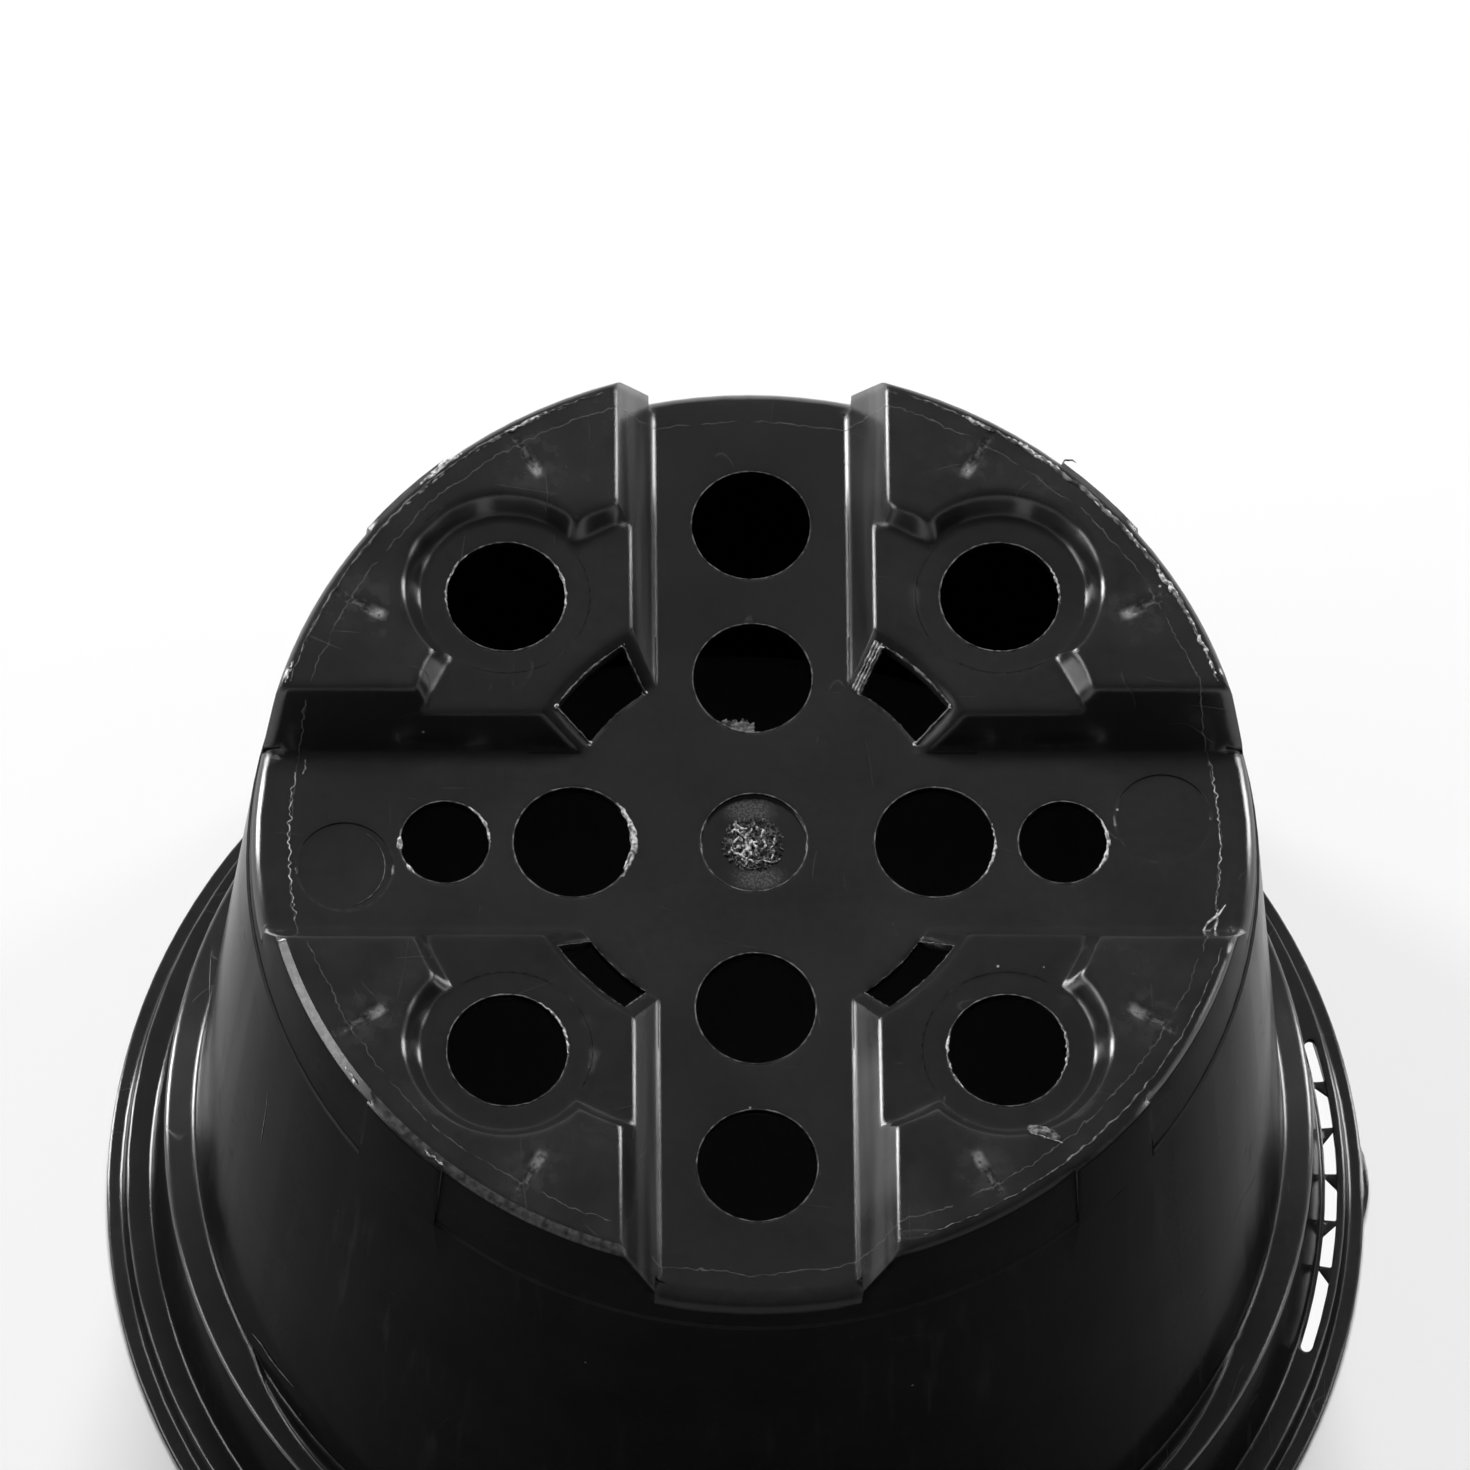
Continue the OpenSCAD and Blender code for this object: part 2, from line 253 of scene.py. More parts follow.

# Smears around the notches, which lie 30 degrees to either side of the axes, and a painted highlight at each
# notch's inner end
notch_turn = radians(30)
folded_long = abs(x).most(abs(y))
folded_short = abs(x).least(abs(y))
along_notch = folded_long * cos(notch_turn) + folded_short * sin(notch_turn)
beside_notch = folded_short * cos(notch_turn) - folded_long * sin(notch_turn)
in_notch = place.node("ShaderNodeCombineXYZ", X=0.2 * along_notch, Y=beside_notch, Z=radius)
streaky = place.node("ShaderNodeTexNoise", Vector=in_notch, Scale=1 / (0.4 * MM), Detail=3.0).ramp(0.4, 0.66)
smear = band(beside_notch, 0, 0.12 * MM, 0.5 * MM) * band(along_notch, 34.0 * MM, 1.2 * MM, 1.2 * MM)
smear = smear * on_feet
grey = grey + 0.06 * smear * streaky
haze = band(beside_notch, 0, 0.6 * MM, 2.6 * MM) * band(along_notch, 33.6 * MM, 0.6 * MM, 3.0 * MM)
haze = haze * on_feet
grey = grey + 0.012 * haze * noise(1.2 * MM, 3.0).ramp(0.4, 0.7)
# Painted highlight: a pale blob at each notch's inner end, where its round end would catch the light
notch_end_glint = band(beside_notch, 0, 0.05 * MM, 0.55 * MM) * band(along_notch, 32.8 * MM, 0.1 * MM, 0.8 * MM)
grey = grey + 0.2 * notch_end_glint * on_feet * noise(0.4 * MM).ramp(0.25, 0.5)

# The hairline around the feet and across the channels' ends, where the parts of the mould meet
wander = 0.9 * MM * (noise(4 * MM, 2.0) - 0.5) + 0.5 * MM * (noise(0.6 * MM, 1.0) - 0.5)
joint_line_r = 35.2 * MM
joint = band(radius + wander, joint_line_r, 0.008 * MM, 0.05 * MM) * noise(2.2 * MM).ramp(0.36, 0.5)
joint = joint * on_base
grey = grey + 0.055 * joint

# Rubbed edges: every rounded edge is a little paler, partly wear and partly a painted sheen along the edges
grey = grey + 0.03 * turned.ramp(0.01, 0.15) * noise(1.4 * MM, 3.0).ramp(0.3, 0.7)

# The far half of the base's edge is ragged, where the two halves of the mould closed
edge_ragged = band(radius, edge_r, 0.08 * MM, 0.14 * MM) * on_feet * y.ramp(0.0, 1 * MM)
grey = grey + 0.25 * edge_ragged * noise(0.45 * MM, 3.0).ramp(0.52, 0.62) * noise(6 * MM).ramp(0.45, 0.6)

# The sides of the channel that runs from front to back have soft streaks along their length,
# and the near end of the one on the right, which faces the left lamps, is painted paler as painted light
steep = on_base * abs(sideways).ramp(0.7, 0.8) * band(abs(x), side_at, 1.6 * MM, 0.1 * MM)
dragged = noise(2.2 * MM, 1.0, (1, 0.1, 1)).ramp(0.3, 0.7)
painted_light_near_end = x.ramp(0.0, 1 * MM) * band(y, -24.5 * MM, 4 * MM, 4 * MM)
grey = grey + steep * (0.05 * dragged + 0.08 * painted_light_near_end * (0.5 + 0.5 * noise(3 * MM)))

# The near left foot's edge was pressed flat at one end, and is rough grey further on
foot_edge = band(radius, 37.1 * MM, 0.3 * MM, 0.05 * MM) * z.ramp(pot_h - 0.8 * MM, pot_h - 0.7 * MM)
foot_edge = foot_edge * y.ramp(-10.2 * MM, -10.8 * MM)
roughened = foot_edge * band(x, -17.5 * MM, 10.5 * MM, 1 * MM) * noise(0.5 * MM, 3.0).ramp(0.2, 0.8)
grey = grey + 0.07 * roughened
pressed = foot_edge * band(x, -32.4 * MM, 3.5 * MM, 0.1 * MM)
slant = place.node("ShaderNodeCombineXYZ", X=x, Y=y, Z=radius)
slant = place.node("ShaderNodeVectorMath", {"operation": "NORMALIZE"}, _0=slant)
rounded = place.node("ShaderNodeMix", {"data_type": "VECTOR"}, 1, _0=pressed, _4=rounded, _5=slant)

# Matt speckled patches beside the gate's scar, at the far and the near side of the dimple
gate_matt = radius.ramp(3.95 * MM, 3.5 * MM) * band(abs(y), 2.9 * MM, 0.3 * MM, 1.0 * MM)
gate_matt = gate_matt * band(x + 0.13 * y, 0, 0.5 * MM, 2.0 * MM)
gate_matt = gate_matt * (0.3 + noise(0.16 * MM, 3.0).ramp(0.4, 0.65))
grey = grey + 0.05 * gate_matt

# Sawn-looking faces in the curved slots beside the low disc, and the dulled slopes below them
along_slot = (abs(x) + abs(y)) * sin(radians(45))
beside_slot = (abs(x) - abs(y)) * sin(radians(45))
near_slot = band(along_slot, 16.45 * MM, 1.7 * MM, 0.1 * MM) * band(beside_slot, 0, 3.7 * MM, 0.1 * MM)
cut_face = near_slot * abs(upward).ramp(0.4, 0.25) * z.ramp(pot_h - 7 * MM, pot_h - 6.5 * MM)
grey = grey + 0.07 * cut_face * (0.4 + 0.6 * noise(0.35 * MM, 3.0, (1, 1, 0.3)))
dulled = band(radius, 16.7 * MM, 1.7 * MM, 0.2 * MM) * band(upward, 0.7, 0.1, 0.05) * on_base

# Specks of dust, fine scratches, and long scuffs down the wall
speck_apart = 3.1 * MM
specks = place.node("ShaderNodeTexVoronoi", Vector=place, Scale=1 / speck_apart)
chosen = place.node("ShaderNodeTexVoronoi", output=1, Vector=place, Scale=1 / speck_apart)
chosen = place.node("ShaderNodeSeparateColor", Color=chosen)
speck = specks.ramp(0.045, 0.02) * chosen.ramp(0.8, 0.82)
grey = grey + 0.3 * speck
scratches = hairline(9 * MM, (1, 0.2, 1), 35, 0.003) + hairline(8 * MM, (0.3, 1, 1), 65, 0.003)
scratches = (scratches * noise(4 * MM).ramp(0.52, 0.66)).least(1.0)
grey = grey + 0.012 * scratches
scuffs = noise(1.1 * MM, 3.0, (1, 1, 0.03)).ramp(0.55, 0.75)
scuffs = scuffs * noise(14 * MM, 2.0, (1, 1, 0.5)).ramp(0.4, 0.7)
grey = grey + 0.02 * scuffs * on_wall

# Painted shade: whatever faces sideways or down is made a deeper black
grey = grey * (0.4 + 0.6 * upward.ramp(0.12, 0.4))

roughness = 0.12 + 0.09 * noise(6 * MM, 3.0) + 0.12 * scratches + 0.2 * smear * streaky
roughness = roughness * (1 - 0.5 * turned.ramp(0.01, 0.1)) + on_wall * (0.1 * scuffs - 0.03)
roughness = roughness + 0.3 * cut_face + 0.2 * speck + 0.2 * gate_matt
roughness = roughness + 0.2 * pressed * noise(0.5 * MM, 3.0)
skin = 0.5 * noise(1.3 * MM, 2.0) + 0.25 * noise(0.35 * MM, 2.0)
skin = skin - 0.6 * scratches + 1.5 * speck + 1.2 * joint
skin = skin + 2.5 * cut_face * noise(0.3 * MM, 3.0) + 1.5 * edge_ragged * noise(0.3 * MM, 3.0)
relief = skin.node("ShaderNodeBump", Strength=0.6, Distance=0.012 * MM, Height=skin, Normal=rounded)

# The level faces are glossy. The wall, the steep faces and the near edge of the base mirror far less.
finish(shader, Base_Color=grey, Roughness=roughness, IOR=1.49, Specular_IOR_Level=0.8, Normal=relief)
glossy = Socket(place.tree, shader.outputs["BSDF"])
quiet = place.node("ShaderNodeBsdfPrincipled", Base_Color=grey, Roughness=roughness, IOR=1.49,
                   Specular_IOR_Level=0.002, Normal=relief)
near_edge = radius.ramp(36.4 * MM, 36.8 * MM) * y.ramp(-20 * MM, -27 * MM) * z.ramp(30 * MM, 40 * MM)
shine = upward.ramp(0.12, 0.4) * (1 - 0.8 * dulled) * (1 - 0.8 * near_edge) * (0.2 + 0.8 * rim_or_base)
plastic = place.node("ShaderNodeMixShader", _0=shine, _1=quiet, _2=glossy)
place.tree.links.new(plastic.link, place.tree.nodes["Material Output"].inputs["Surface"])
pot.data.materials.clear()
pot.data.materials.append(black_plastic)
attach(pot, "root")
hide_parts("pot")

# Flash is the thin ragged plastic that is squeezed out where the mould's parts close on each other.
# It stands along the edge of every drainage hole, greyed by rubbing and paled further as a painted highlight
# along the edge, and white where it was torn.
point_step = 0.12 * MM


def thread(points, thicknesses, closed=False):
    """A fine round thread of plastic through points, with its own thickness at each."""
    curve = bpy.data.curves.new("thread", "CURVE")
    curve.dimensions = "3D"
    curve.bevel_depth = 1
    curve.bevel_resolution = 1
    curve.use_fill_caps = not closed
    spline = curve.splines.new("POLY")
    spline.points.add(len(points) - 1)
    for point, spot, thickness in zip(spline.points, points, thicknesses):
        point.co = (*spot, 1)
        point.radius = thickness
    spline.use_cyclic_u = closed
    piece = bpy.data.objects.new("thread", curve)
    bpy.context.scene.collection.objects.link(piece)
    bpy.ops.object.select_all(action="DESELECT")
    piece.select_set(True)
    bpy.context.view_layer.objects.active = piece
    bpy.ops.object.convert(target="MESH")
    return bpy.context.object


def arc(middle, height, ring_r, first, last, thick, wander=0.0, lump=0.3 * MM):
    """A thread around a point from one direction to another, in degrees, which swells and wanders."""
    turned_by = radians(last - first)
    closed = last - first >= 360
    count = max(6, round(abs(turned_by) * ring_r / point_step))
    points = []
    thicknesses = []
    for step in range(count + (0 if closed else 1)):
        share = step / count
        angle = radians(first) + turned_by * share
        along = Vector((cos(angle), sin(angle), 0.0)) * ring_r / lump
        seen_from = Vector((middle[0] + first * MM, middle[1], height)) / lump
        out = ring_r + wander * noise_at(along + seen_from)
        swell = 1 + 0.7 * noise_at(along * 0.6 + seen_from * 2)
        taper = 1 if closed else max(0.15, sin(pi * share)) ** 0.5
        points.append((middle[0] + out * cos(angle), middle[1] + out * sin(angle), height))
        thicknesses.append(thick * swell * taper)
    return thread(points, thicknesses, closed)


def joined(name, pieces, height, lump, material):
    """Joins threads to one piece, roughens it by a height, and fixes it to the pot."""
    bpy.ops.object.select_all(action="DESELECT")
    for piece in pieces:
        piece.select_set(True)
    bpy.context.view_layer.objects.active = pieces[0]
    if len(pieces) > 1:
        bpy.ops.object.join()
    piece = bpy.context.object
    piece.name = name
    piece.data.name = name
    clouds = bpy.data.textures.new(name, "CLOUDS")
    clouds.noise_scale = lump
    clouds.noise_depth = 2
    rough = piece.modifiers.new("rough", "DISPLACE")
    rough.texture = clouds
    rough.texture_coords = "LOCAL"
    rough.strength = height
    bpy.ops.object.modifier_apply(modifier=rough.name)
    bpy.ops.object.shade_smooth()
    piece.data.materials.clear()
    piece.data.materials.append(material)
    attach(piece, "root")


# Grey of rubbed flash, which on the hole rims and the lug's creases is also a painted highlight
rubbed_grey_and_sheen, shader, place = new_material("rubbed_grey_and_sheen")
rubbed_and_sheen = 0.03 + 0.15 * noise(0.5 * MM, 2.0).ramp(0.38, 0.65)
finish(shader, Base_Color=rubbed_and_sheen, Roughness=0.35 + 0.2 * noise(0.3 * MM), IOR=1.49)
torn_white, shader, place = new_material("torn_white")
torn = 0.12 + 0.5 * noise(0.3 * MM, 3.0).ramp(0.36, 0.6)
finish(shader, Base_Color=torn, Roughness=0.5 + 0.2 * noise(0.3 * MM), IOR=1.49)

hole_r = 4.55 * MM
small_hole_r = 3.4 * MM
dimple_r = 4.05 * MM
inner_at = 13.65 * MM
small_at = 23.35 * MM
rim_thick = 0.055 * MM
rims = []
for side in (-1, 1):
    for middle in ((0, side * inner_at), (side * inner_at, 0), (0, side * outer_at)):
        rims.append(arc(middle, floor_z, hole_r, 0, 360, rim_thick, 0.02 * MM))
    rims.append(arc((side * small_at, 0), floor_z, small_hole_r, 0, 360, rim_thick, 0.02 * MM))
    for other in (-1, 1):
        rims.append(arc((side * corner_at, other * corner_at), pad_z, hole_r, 0, 360, rim_thick, 0.03 * MM))
rims.append(arc((0, 0), floor_z, dimple_r, 0, 360, 0.05 * MM, 0.01 * MM))
joined("drain_hole_rims", rims, 0.06 * MM, 0.25 * MM, rubbed_grey_and_sheen)

# Torn stretches of a hole's edge: its middle, height and radius, from and to which direction,
# how thick, and how far it wanders
torn_arcs = (
    ((-inner_at, 0), floor_z, hole_r + 0.05 * MM, -38, 44, 0.2 * MM, 0.12 * MM),
    ((-inner_at, 0), floor_z, hole_r - 0.15 * MM, -30, 30, 0.09 * MM, 0.12 * MM),
    ((-small_at, 0), floor_z, small_hole_r, 172, 190, 0.24 * MM, 0.05 * MM),
    ((-small_at, 0), floor_z, small_hole_r, 212, 228, 0.14 * MM, 0.05 * MM),
    ((-small_at, 0), floor_z, small_hole_r, 0, 58, 0.12 * MM, 0.05 * MM),
    ((small_at, 0), floor_z, small_hole_r, -50, 35, 0.14 * MM, 0.08 * MM),
    ((inner_at, 0), floor_z, hole_r, -40, 20, 0.1 * MM, 0.08 * MM),
    ((corner_at, -corner_at), pad_z, hole_r - 0.05 * MM, 165, 185, 0.12 * MM, 0.12 * MM),
    ((corner_at, -corner_at), pad_z, hole_r - 0.05 * MM, 190, 200, 0.11 * MM, 0.1 * MM),
    ((corner_at, -corner_at), pad_z, hole_r - 0.05 * MM, 206, 222, 0.08 * MM, 0.12 * MM),
    ((corner_at, -corner_at), pad_z, hole_r - 0.05 * MM, -35, 30, 0.08 * MM, 0.14 * MM),
    ((-corner_at, corner_at), pad_z, hole_r, -20, 50, 0.1 * MM, 0.08 * MM),
    ((-corner_at, corner_at), pad_z, hole_r, 130, 195, 0.08 * MM, 0.08 * MM),
    ((corner_at, corner_at), pad_z, hole_r, -10, 45, 0.09 * MM, 0.08 * MM),
    ((-corner_at, -corner_at), pad_z, hole_r, -10, 60, 0.09 * MM, 0.08 * MM),
)
torn_bits = []
for middle, height, ring_r, first, last, thick, wander in torn_arcs:
    torn_bits.append(arc(middle, height, ring_r, first, last, thick, wander, 0.35 * MM))
joined("drain_hole_flash", torn_bits, 0.2 * MM, 0.18 * MM, torn_white)

# A flap of flash, as thin as paper, was left hanging across the inner hole on the far side.
# Its outer edge follows the hole, and its inner edge is torn.
flap_thick = 0.12 * MM
flap_middle = 251
flap_half = 20.5
flap_reach = 3.45 * MM
flap_tip = 1.3 * MM
bpy.ops.object.select_all(action="DESELECT")
bpy.ops.mesh.primitive_grid_add(x_subdivisions=90, y_subdivisions=24, size=1)
flap = bpy.context.object
for vert in flap.data.vertices:
    along = vert.co.x
    across = vert.co.y + 0.5
    angle = radians(flap_middle + 2 * flap_half * along)
    torn_to = min(hole_r, flap_reach / -sin(angle) + flap_tip * max(0, along - 0.3))
    torn_to = torn_to + 0.35 * MM * noise_at(Vector((9 * along, 0, 0)))
    torn_to = torn_to + 0.15 * MM * noise_at(Vector((40 * along, 3, 0)))
    out = hole_r + 0.05 * MM - (hole_r - torn_to) * across
    vert.co = Vector((out * cos(angle), inner_at + out * sin(angle), floor_z - flap_thick))
leaf = flap.modifiers.new("leaf", "SOLIDIFY")
leaf.thickness = flap_thick
bpy.ops.object.modifier_apply(modifier=leaf.name)
joined("drain_hole_flap", [flap], 0.22 * MM, 0.2 * MM, rubbed_grey_and_sheen)

# The curved slots were punched, which left their edges pale and rough, most on the two far slots.
# The left end of the far right slot is the roughest, and white specks stand at the far slots' corners.
slot_out_r = 17.9 * MM
slot_in_r = 14.8 * MM
slot_half = 11.5
slot_fine = 0.05
far_right = 45
roughest_end = far_right + slot_half
slots = ((far_right, 0.14), (135, 0.1), (225, slot_fine), (315, slot_fine))
end_steps = 24
slot_edges = []
slot_specks = []
for middle, thick in slots:
    from_turn = middle - slot_half
    to_turn = middle + slot_half
    high = floor_z + slot_out_r - slot_in_r
    slot_edges.append(arc((0, 0), high, slot_out_r, from_turn, to_turn, thick * MM, 0.05 * MM))
    slot_edges.append(arc((0, 0), floor_z, slot_in_r, from_turn, to_turn, slot_fine * MM, 0.05 * MM))
    for end in (from_turn, to_turn):
        direction = Vector((cos(radians(end)), sin(radians(end)), 0))
        points = []
        thicknesses = []
        for step in range(end_steps + 1):
            out = slot_in_r + (slot_out_r - slot_in_r) * step / end_steps
            point = direction * out + Vector((0, 0, floor_z + out - slot_in_r))
            points.append(point + Vector((0.05, 0.05, 0.02)) * MM * noise_at(point / (0.3 * MM)))
            thicknesses.append(thick * 0.8 * MM * (1 + 0.6 * noise_at(point / (0.4 * MM))))
        slot_edges.append(thread(points, thicknesses))
        if end == roughest_end:
            thicker = [1.1 * thickness for thickness in thicknesses]
            for aside in (0.2, 0.45, 0.7):
                beside = Vector((-direction.y, direction.x, 0)) * aside * MM
                slot_specks.append(thread([point + beside for point in points], thicker))
        if middle < 180:
            for out in (slot_in_r, slot_out_r):
                corner_z = floor_z + out - slot_in_r
                slot_specks.append(arc(direction * out, corner_z, 0.15 * MM, 0, 300, 0.11 * MM, 0.1 * MM))
joined("slot_edges", slot_edges, 0.1 * MM, 0.2 * MM, rubbed_grey_and_sheen)
joined("slot_specks", slot_specks, 0.1 * MM, 0.15 * MM, torn_white)

# Around the outer edge of the base, just inside its rounding, runs a ragged ridge of flash.
# A few crumbs of it hang over the edge, and finer lines cross the ends of two channels.
ridge = []
for first, last, thick in ((17, 71, 0.15), (108, 163, 0.08), (289, 342, 0.06)):
    ridge.append(arc((0, 0), pot_h, edge_r, first, last, thick * MM, 0.16 * MM, 0.9 * MM))
joined("base_edge_ridge", ridge, 0.12 * MM, 0.3 * MM, rubbed_grey_and_sheen)

# Each crumb: from and to which direction, how far out over the edge, and how thick, in millimetres
crumb_places = ((28, 34, 0, 0.18), (35, 47, 0, 0.13), (49, 58, 0.05, 0.18), (59, 64, 0, 0.16),
                (18, 27, 0, 0.11), (116, 121, 0, 0.12), (126.5, 131.5, 0.5, 0.22), (128, 133, 0.45, 0.18),
                (160, 163.3, 0.3, 0.12), (228, 231, 0.6, 0.1), (214, 217, 0.6, 0.08))
crumbs = []
for first, last, out, thick in crumb_places:
    height = pot_h - out * 0.5 * MM
    crumbs.append(arc((0, 0), height, edge_r + out * MM, first, last, thick * MM, 0.2 * MM, 0.5 * MM))
joined("base_edge_flash", crumbs, 0.3 * MM, 0.25 * MM, torn_white)

joint_r = 35.1 * MM
joints = [arc((0, 0), floor_z, joint_r, 170.5, 190.6, 0.04 * MM, 0.3 * MM, 0.35 * MM),
          arc((0, 0), floor_z, joint_r - 0.6 * MM, 168.6, 170.6, 0.04 * MM, 0.25 * MM, 0.3 * MM),
          arc((0, 0), floor_z, joint_r + 0.3 * MM, -15.5, -9, 0.12 * MM, 0.2 * MM, 0.8 * MM),
          arc((0, 0), floor_z, joint_r + 0.1 * MM, -9, 11, 0.04 * MM, 0.3 * MM, 0.4 * MM)]
joined("channel_end_flash", joints, 0.06 * MM, 0.2 * MM, torn_white)


# The scar where the gate was broken off is a rough low mound with worm-like crests of torn plastic.
# A scuff on one foot and a few loose hairs of flash were torn up in the same way.
def mound(name, middle, size, turn, height, lump, material):
    """A low rough mound on a level face."""
    bpy.ops.object.select_all(action="DESELECT")
    bpy.ops.mesh.primitive_ico_sphere_add(subdivisions=6, radius=1)
    piece = bpy.context.object
    turned_round = Matrix.Rotation(radians(turn), 4, "Z")
    piece.data.transform(Matrix.Translation(middle) @ turned_round @ Matrix.Diagonal((*size, 1)))
    joined(name, [piece], height, lump, material)


def worm(start, end, height, thick, wander, lump):
    """A thread from one point to another that winds sideways."""
    start, end = Vector((*start, height)), Vector((*end, height))
    count = max(6, round((end - start).length / point_step))
    beside = Vector((start.y - end.y, end.x - start.x, 0)).normalized()
    points = []
    thicknesses = []
    for step in range(count + 1):
        share = step / count
        point = start.lerp(end, share)
        lift = Vector((0, 0, 0.5 * thick * noise_at(point * 3 / lump)))
        taper = max(0.2, sin(pi * share)) ** 0.5
        points.append(point + beside * wander * noise_at(point / lump) + lift)
        thicknesses.append(thick * (1 + 0.6 * noise_at(point * 2 / lump)) * taper)
    return thread(points, thicknesses)


dimple_z = floor_z - 0.4 * MM
scarred, shader, place = new_material("scarred")
torn_grain = noise(0.16 * MM, 4.0).ramp(0.42, 0.62) * noise(0.7 * MM).ramp(0.3, 0.6)
finish(shader, Base_Color=black + 0.14 * torn_grain, Roughness=0.25 + 0.2 * torn_grain, IOR=1.49)
scar_at = (-0.1 * MM, 0, dimple_z - 0.04 * MM)
scar_size = (2.3 * MM, 2.2 * MM, 0.2 * MM)
mound("gate_scar", scar_at, scar_size, 0, 0.9 * MM, 0.22 * MM, scarred)

# Each crest: its two ends, and its thickness, in millimetres
crest_places = (
    ((-1.3, 1.9), (-0.6, 0.3), 0.15), ((-0.8, 0.6), (-0.6, -1.5), 0.14), ((-0.35, 1.2), (-0.2, 0.1), 0.13),
    ((-0.2, 0.2), (-0.4, -1.5), 0.15), ((-1.9, 0.9), (-1.0, 1.1), 0.1), ((-1.8, 0.3), (-0.8, 0.0), 0.12),
    ((-1.7, -0.4), (-0.8, -0.4), 0.12), ((-1.5, -1.0), (-0.7, -0.8), 0.1),
    ((-2.0, -0.8), (-1.5, -0.6), 0.07), ((0.5, 1.5), (0.6, 0.4), 0.1), ((0.9, 0.6), (0.7, -0.7), 0.09),
    ((1.5, 0.6), (1.6, -0.6), 0.06), ((0.1, 0.4), (0.2, -1.2), 0.1), ((-0.95, -1.75), (0.6, -1.45), 0.06),
    ((0.6, -1.45), (1.9, -1.6), 0.04),
    ((-1.6, 1.5), (-1.3, 0.7), 0.08), ((0.2, 1.9), (0.4, 1.4), 0.06), ((1.2, -1.0), (1.4, -1.3), 0.06),
)
crest_z = dimple_z + 0.14 * MM
crests = []
for start, end, thick in crest_places:
    start = [value * MM for value in start]
    end = [value * MM for value in end]
    crests.append(worm(start, end, crest_z, 1.25 * thick * MM, 0.5 * MM, 0.35 * MM))
joined("gate_crests", crests, 0.4 * MM, 0.14 * MM, torn_white)

scuff_at = (21.2 * MM, -26.3 * MM, pot_h - 0.04 * MM)
scuff_size = (1.3 * MM, 0.5 * MM, 0.14 * MM)
mound("foot_scuff", scuff_at, scuff_size, -20, 0.2 * MM, 0.3 * MM, rubbed_grey_and_sheen)

# Each hair: its two ends, height, thickness, how far it winds and how often
hair_places = (
    ((20.1 * MM, -26.3 * MM), (22.6 * MM, -27.1 * MM), pot_h + 0.04 * MM, 0.05 * MM, 0.1 * MM, 0.5 * MM),
    ((33.7 * MM, -7.3 * MM), (35.5 * MM, -5.2 * MM), floor_z + 0.1 * MM, 0.1 * MM, 0.3 * MM, 1.5 * MM),
    ((33.3 * MM, -7.35 * MM), (34.4 * MM, -7.3 * MM), floor_z + 0.05 * MM, 0.1 * MM, 0.1 * MM, 0.6 * MM),
)
hairs = [worm(*hair) for hair in hair_places]
joined("loose_flash", hairs, 0.06 * MM, 0.2 * MM, torn_white)


# Fine raised lines in the moulding: a short curl over the far right edge, the ring in the left
# ejector's mark, two creases beside the near left lug and a score down the wall above it.
# The creases' pale grey is a painted highlight for the light their rounded ridges would catch.
def path(points, thick):
    """A thread through points given in millimetres, thinner at both ends."""
    spots = [Vector(point) * MM for point in points]
    tapers = [max(0.3, sin(pi * (step + 0.5) / len(points))) for step in range(len(points))]
    return thread(spots, [thick * taper for taper in tapers])


curl = ((23.7, 28.6, 74.5), (23.6, 28.9, 74.65), (23.75, 29.1, 74.75), (24.0, 29.05, 74.8),
        (24.3, 29.1, 74.75), (24.6, 28.9, 74.7))
lug_low = ((-38.3, -18.9, 15.3), (-38.2, -19.5, 15.1), (-37.87, -20.48, 15.1), (-37.47, -21.66, 15.1),
           (-36.9, -23.2, 14.75))
lug_high = ((-38.2, -19.0, 17.2), (-37.5, -20.25, 18.1), (-36.8, -21.5, 18.3), (-35.9, -22.85, 18.55),
            (-35.0, -24.2, 19.1))
score = ((-36.74, -14.2, 53.9), (-36.92, -14.45, 51.0), (-37.18, -14.65, 47.6), (-37.35, -14.82, 45.1))
ejector_at = (-31.15 * MM, -2 * MM)
creases = [path(curl, 0.08 * MM),
           arc(ejector_at, floor_z, 3.3 * MM, -75, 55, 0.025 * MM, 0.02 * MM),
           path(lug_low, 0.07 * MM),
           path(lug_high, 0.05 * MM),
           path(score, 0.035 * MM)]
joined("creases", creases, 0.02 * MM, 0.3 * MM, rubbed_grey_and_sheen)

# The pot stands on a plain pale sheet, inside a low round white backdrop that stands a long way off.
# Far out, the sheet fades into the backdrop's plain white.
bpy.ops.object.select_all(action="DESELECT")
bpy.ops.mesh.primitive_plane_add(size=7)
floor = bpy.context.object
floor.name = "floor"


def glowing(material, shader, share):
    """Mixes a plain white glow into what the camera and reflections see of a pale surface."""
    tree = material.node_tree
    rays = tree.nodes.new("ShaderNodeLightPath")
    seen = Socket(tree, rays.outputs["Is Camera Ray"])
    for ray in ("Is Glossy Ray", "Is Transmission Ray"):
        seen = seen + Socket(tree, rays.outputs[ray])
    glow = seen.node("ShaderNodeEmission", Strength=0.95)
    lit = Socket(tree, shader.outputs["BSDF"])
    mixed = seen.node("ShaderNodeMixShader", _0=seen * share, _1=lit, _2=glow)
    tree.links.new(mixed.link, tree.nodes["Material Output"].inputs["Surface"])


pale_white = (0.86, 0.86, 0.86, 1)
pale, shader, place = new_material("pale_floor")
finish(shader, Base_Color=pale_white, Roughness=0.9, Specular_IOR_Level=0.1)
far_out = place.node("ShaderNodeVectorMath", {"operation": "LENGTH"}, output=1, _0=place).ramp(0.3, 0.7)
glowing(pale, shader, far_out)
floor.data.materials.append(pale)

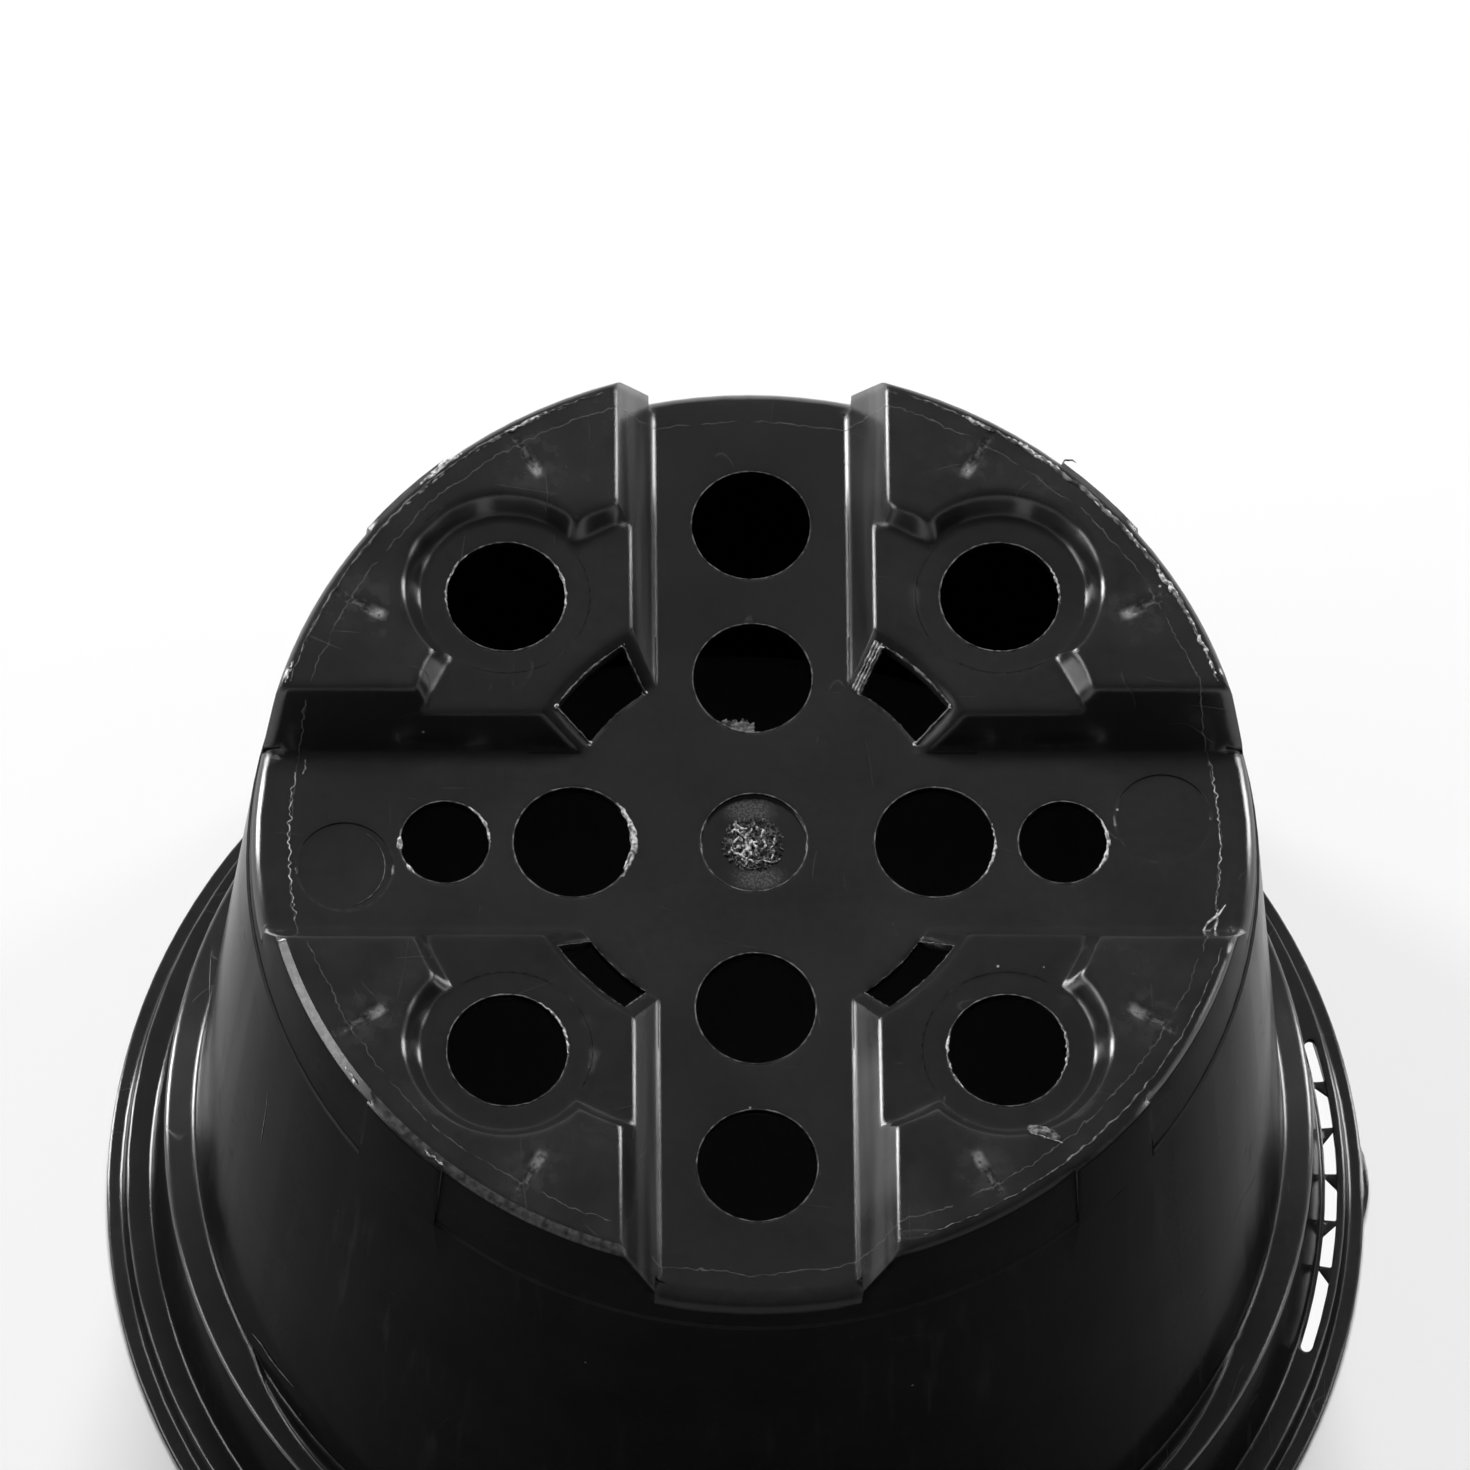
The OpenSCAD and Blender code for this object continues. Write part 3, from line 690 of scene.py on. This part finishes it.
backdrop_r = 3
backdrop_h = 0.5
bpy.ops.object.select_all(action="DESELECT")
bpy.ops.mesh.primitive_cylinder_add(vertices=128, radius=backdrop_r, depth=backdrop_h,
                                    end_fill_type="NOTHING", location=(0, 0, backdrop_h / 2))
backdrop = bpy.context.object
backdrop.name = "backdrop"
bpy.ops.object.transform_apply(location=True)
bpy.ops.object.shade_smooth()
white, shader, place = new_material("white_backdrop")
finish(shader, Base_Color=pale_white, Roughness=0.9, Specular_IOR_Level=0.1)
glowing(white, shader, 1)
backdrop.data.materials.append(white)

# A white slip of paper lies under the rim, where the label slot looks through to it.
# It glows plain white to the camera and in reflections, a painted light over the rim's shadow there.
slip_from = -20
slip_to = 16
slip_in_r = 45.8 * MM
slip_out_r = 48.1 * MM
slip_z = 0.05 * MM
slip_steps = 18
corners = []
for step in range(slip_steps + 1):
    turn = radians(slip_from + (slip_to - slip_from) * step / slip_steps)
    for out in (slip_in_r, slip_out_r):
        corners.append((out * cos(turn), out * sin(turn), slip_z))
strips = [(2 * step, 2 * step + 1, 2 * step + 3, 2 * step + 2) for step in range(slip_steps)]
slip_mesh = bpy.data.meshes.new("glowing_slip")
slip_mesh.from_pydata(corners, [], strips)
glowing_slip = bpy.data.objects.new("glowing_slip", slip_mesh)
bpy.context.scene.collection.objects.link(glowing_slip)
glowing_slip.data.materials.append(white)


# A broad lamp high up behind the pot lights the sheet and the base's level faces. Two narrow lamps
# and two wide ones stand low at the sides, and draw the light lines along the pot's edges.
def soft_lamp(name, direction, elevation, distance, size, watts):
    """A soft rectangular lamp that looks at the pot, from a direction in degrees from +X."""
    lamp_data = bpy.data.lights.new(name, "AREA")
    lamp_data.shape = "RECTANGLE"
    lamp_data.size, lamp_data.size_y = size
    lamp_data.energy = watts
    lamp = bpy.data.objects.new(name, lamp_data)
    towards = Vector((cos(radians(direction)) * cos(radians(elevation)),
                      sin(radians(direction)) * cos(radians(elevation)),
                      sin(radians(elevation))))
    middle = Vector((0, 0, pot_h / 2))
    turned_in = towards.to_track_quat("Z", "Y").to_matrix().to_4x4()
    lamp.matrix_world = Matrix.Translation(middle + towards * distance) @ turned_in
    lamp.visible_camera = False
    bpy.context.scene.collection.objects.link(lamp)
    return lamp


back_box = soft_lamp("back_box", 87, 56.5, 2.6, (1.1, 0.7), 71)
back_box.visible_glossy = False
soft_lamp("left_strip", 152, 11, 1.6, (0.28, 0.56), 14)
soft_lamp("left_side", 186, 11, 1.6, (0.75, 0.36), 5)
soft_lamp("right_strip", 28, 11, 1.6, (0.28, 0.56), 8)
soft_lamp("right_side", 0, 11, 1.6, (0.3, 0.32), 1.5)
world = bpy.data.worlds.new("world")
world.use_nodes = True
sky = world.node_tree.nodes["Background"]
sky.inputs["Color"].default_value = (1, 1, 1, 1)
sky.inputs["Strength"].default_value = 0.06
bpy.context.scene.world = world
bpy.context.scene.view_settings.view_transform = "Standard"
